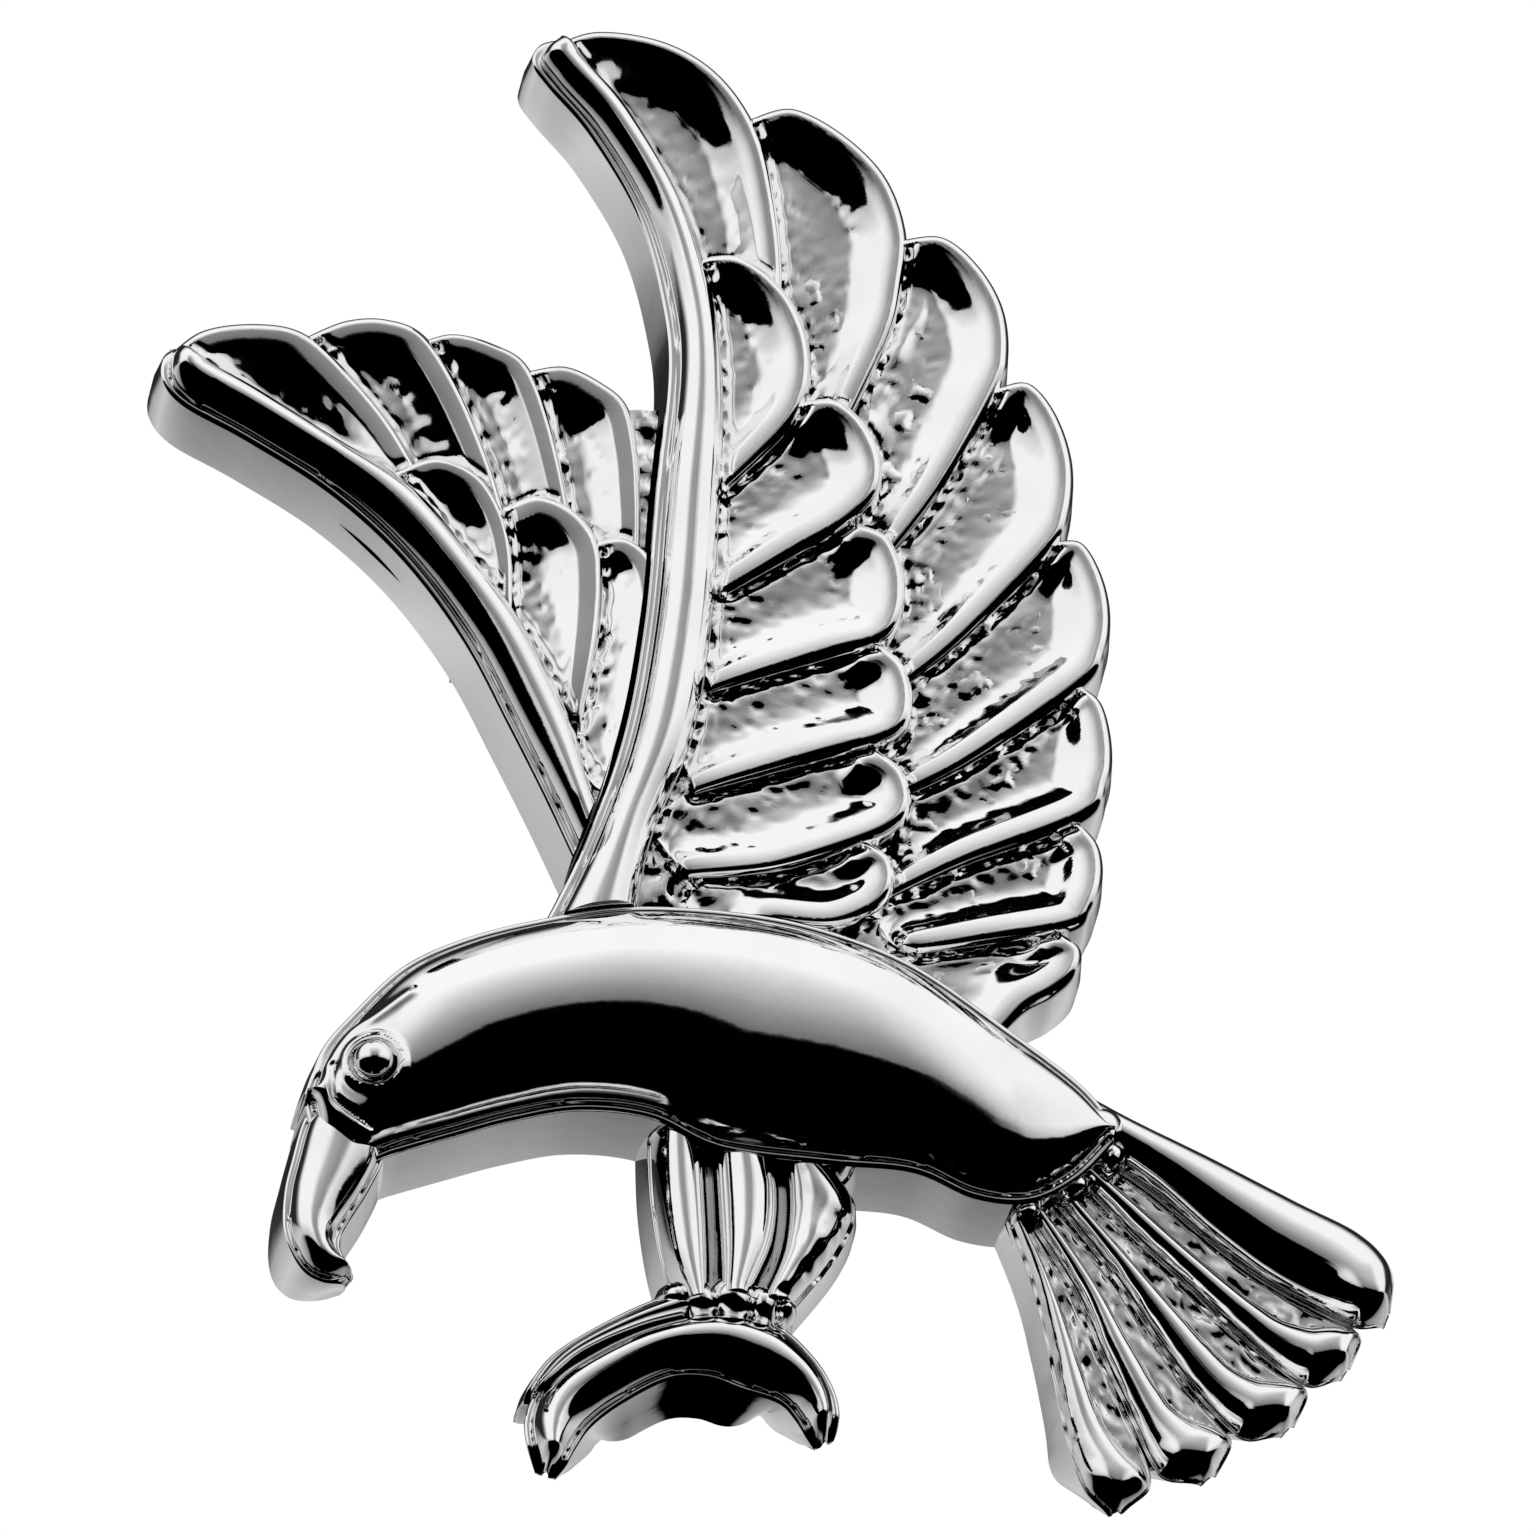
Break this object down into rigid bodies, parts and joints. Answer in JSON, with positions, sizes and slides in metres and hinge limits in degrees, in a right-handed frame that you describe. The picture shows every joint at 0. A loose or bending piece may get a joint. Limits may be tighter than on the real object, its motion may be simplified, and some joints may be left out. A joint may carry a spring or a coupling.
{
  "type": "eagle brooch",
  "caption": "Cast and polished eagle brooch with raised wings, hollow back, hinged bar pin and turning safety catch.",
  "frame": {"origin": "middle of the pin bar, in the plane of the castings' back rims", "axes": "+X towards the tail, +Z towards the wing tips, -Y out of the decorated front, +Y out of the back with the pin"},
  "size_m": [0.0446, 0.0123, 0.0555],
  "materials": {
    "plated_casting": "polished",
    "plated_wire": "satin"
  },
  "bodies": {
    "brooch": {"near_wing": "plated_casting", "far_wing": "plated_casting", "body": "plated_casting", "tail_fan": "plated_casting", "thighs": "plated_casting", "talons": "plated_casting", "eye": "plated_casting", "pin_bar": "plated_wire", "hinge_base": "plated_wire", "hinge_rivet": "plated_wire", "catch_housing": "plated_wire"},
    "pin": {"pin_stem": "plated_wire"},
    "rotor": {"catch_rotor": "plated_wire"}
  },
  "joints": [
    {"name": "pin_hinge", "type": "hinge", "parent": "brooch", "child": "pin", "pos_m": [-0.0094, 0.003, 0], "axis": [0, 0, 1], "range_deg": [0, 100]},
    {"name": "catch_turn", "type": "hinge", "parent": "brooch", "child": "rotor", "pos_m": [0.008, 0.003, 0], "axis": [1, 0, 0], "range_deg": [0, 110]}
  ]
}
